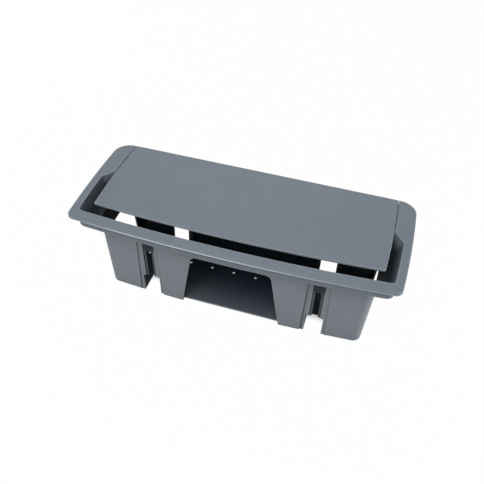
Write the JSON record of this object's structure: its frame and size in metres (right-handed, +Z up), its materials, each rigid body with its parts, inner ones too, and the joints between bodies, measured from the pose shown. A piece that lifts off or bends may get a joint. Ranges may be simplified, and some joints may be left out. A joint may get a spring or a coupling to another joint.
{
  "type": "cable management box",
  "caption": "Desk-inset cable box: drop-in tub under a wide rim with a scooped cable tray, flush hinged lid, clamp slides in stepped slots and a flared front mouth",
  "frame": {"origin": "centre of the footprint, on the surface that the box stands on", "axes": "+X along the box's length, +Y to the hinged rear edge, +Z up"},
  "size_m": [0.45, 0.185, 0.153],
  "materials": {
    "slate_plastic": "fine texture, slate grey",
    "black_plastic": "satin black",
    "bumper_rubber": "soft black",
    "plated_steel": "bright plated"
  },
  "bodies": {
    "base": {"rim_frame": "slate_plastic", "tub": "slate_plastic", "hinge_pin_left": "plated_steel", "hinge_pin_right": "plated_steel", "bumper_left": "bumper_rubber", "bumper_right": "bumper_rubber", "rim_screw_1": "plated_steel", "rim_screw_2": "plated_steel", "rim_screw_3": "plated_steel", "rim_screw_4": "plated_steel", "rim_screw_5": "plated_steel", "rim_screw_6": "plated_steel", "rim_screw_7": "plated_steel", "rim_screw_8": "plated_steel"},
    "lid": {"lid": "slate_plastic"},
    "clamp_front_left": {"clamp_plate_front_left": "black_plastic", "clamp_pad_front_left": "black_plastic"},
    "knob_front_left": {"clamp_knob_front_left": "black_plastic"},
    "clamp_front_right": {"clamp_plate_front_right": "black_plastic", "clamp_pad_front_right": "black_plastic"},
    "knob_front_right": {"clamp_knob_front_right": "black_plastic"},
    "clamp_rear_left": {"clamp_plate_rear_left": "black_plastic", "clamp_pad_rear_left": "black_plastic"},
    "knob_rear_left": {"clamp_knob_rear_left": "black_plastic"},
    "clamp_rear_right": {"clamp_plate_rear_right": "black_plastic", "clamp_pad_rear_right": "black_plastic"},
    "knob_rear_right": {"clamp_knob_rear_right": "black_plastic"}
  },
  "joints": [
    {"name": "lid_hinge", "type": "hinge", "parent": "base", "child": "lid", "pos_m": [0, 0.0899, 0.1506], "axis": [-1, 0, 0], "range_deg": [0, 100]},
    {"name": "clamp_front_left_slide", "type": "slide", "parent": "base", "child": "clamp_front_left", "axis": [0, 0.0366, -0.9993], "range_m": [0, 0.052]},
    {"name": "knob_front_left_turn", "type": "hinge", "parent": "clamp_front_left", "child": "knob_front_left", "pos_m": [-0.1218, -0.05381, 0.0952], "axis": [0, 0.9993, 0.0366], "continuous": true},
    {"name": "clamp_front_right_slide", "type": "slide", "parent": "base", "child": "clamp_front_right", "axis": [0, 0.0366, -0.9993], "range_m": [0, 0.052]},
    {"name": "knob_front_right_turn", "type": "hinge", "parent": "clamp_front_right", "child": "knob_front_right", "pos_m": [0.1218, -0.05381, 0.0952], "axis": [0, 0.9993, 0.0366], "continuous": true},
    {"name": "clamp_rear_left_slide", "type": "slide", "parent": "base", "child": "clamp_rear_left", "axis": [0, -0.0366, -0.9993], "range_m": [0, 0.052]},
    {"name": "knob_rear_left_turn", "type": "hinge", "parent": "clamp_rear_left", "child": "knob_rear_left", "pos_m": [-0.1218, 0.07405, 0.0952], "axis": [0, -0.9993, 0.0366], "continuous": true},
    {"name": "clamp_rear_right_slide", "type": "slide", "parent": "base", "child": "clamp_rear_right", "axis": [0, -0.0366, -0.9993], "range_m": [0, 0.052]},
    {"name": "knob_rear_right_turn", "type": "hinge", "parent": "clamp_rear_right", "child": "knob_rear_right", "pos_m": [0.1218, 0.07405, 0.0952], "axis": [0, -0.9993, 0.0366], "continuous": true}
  ]
}
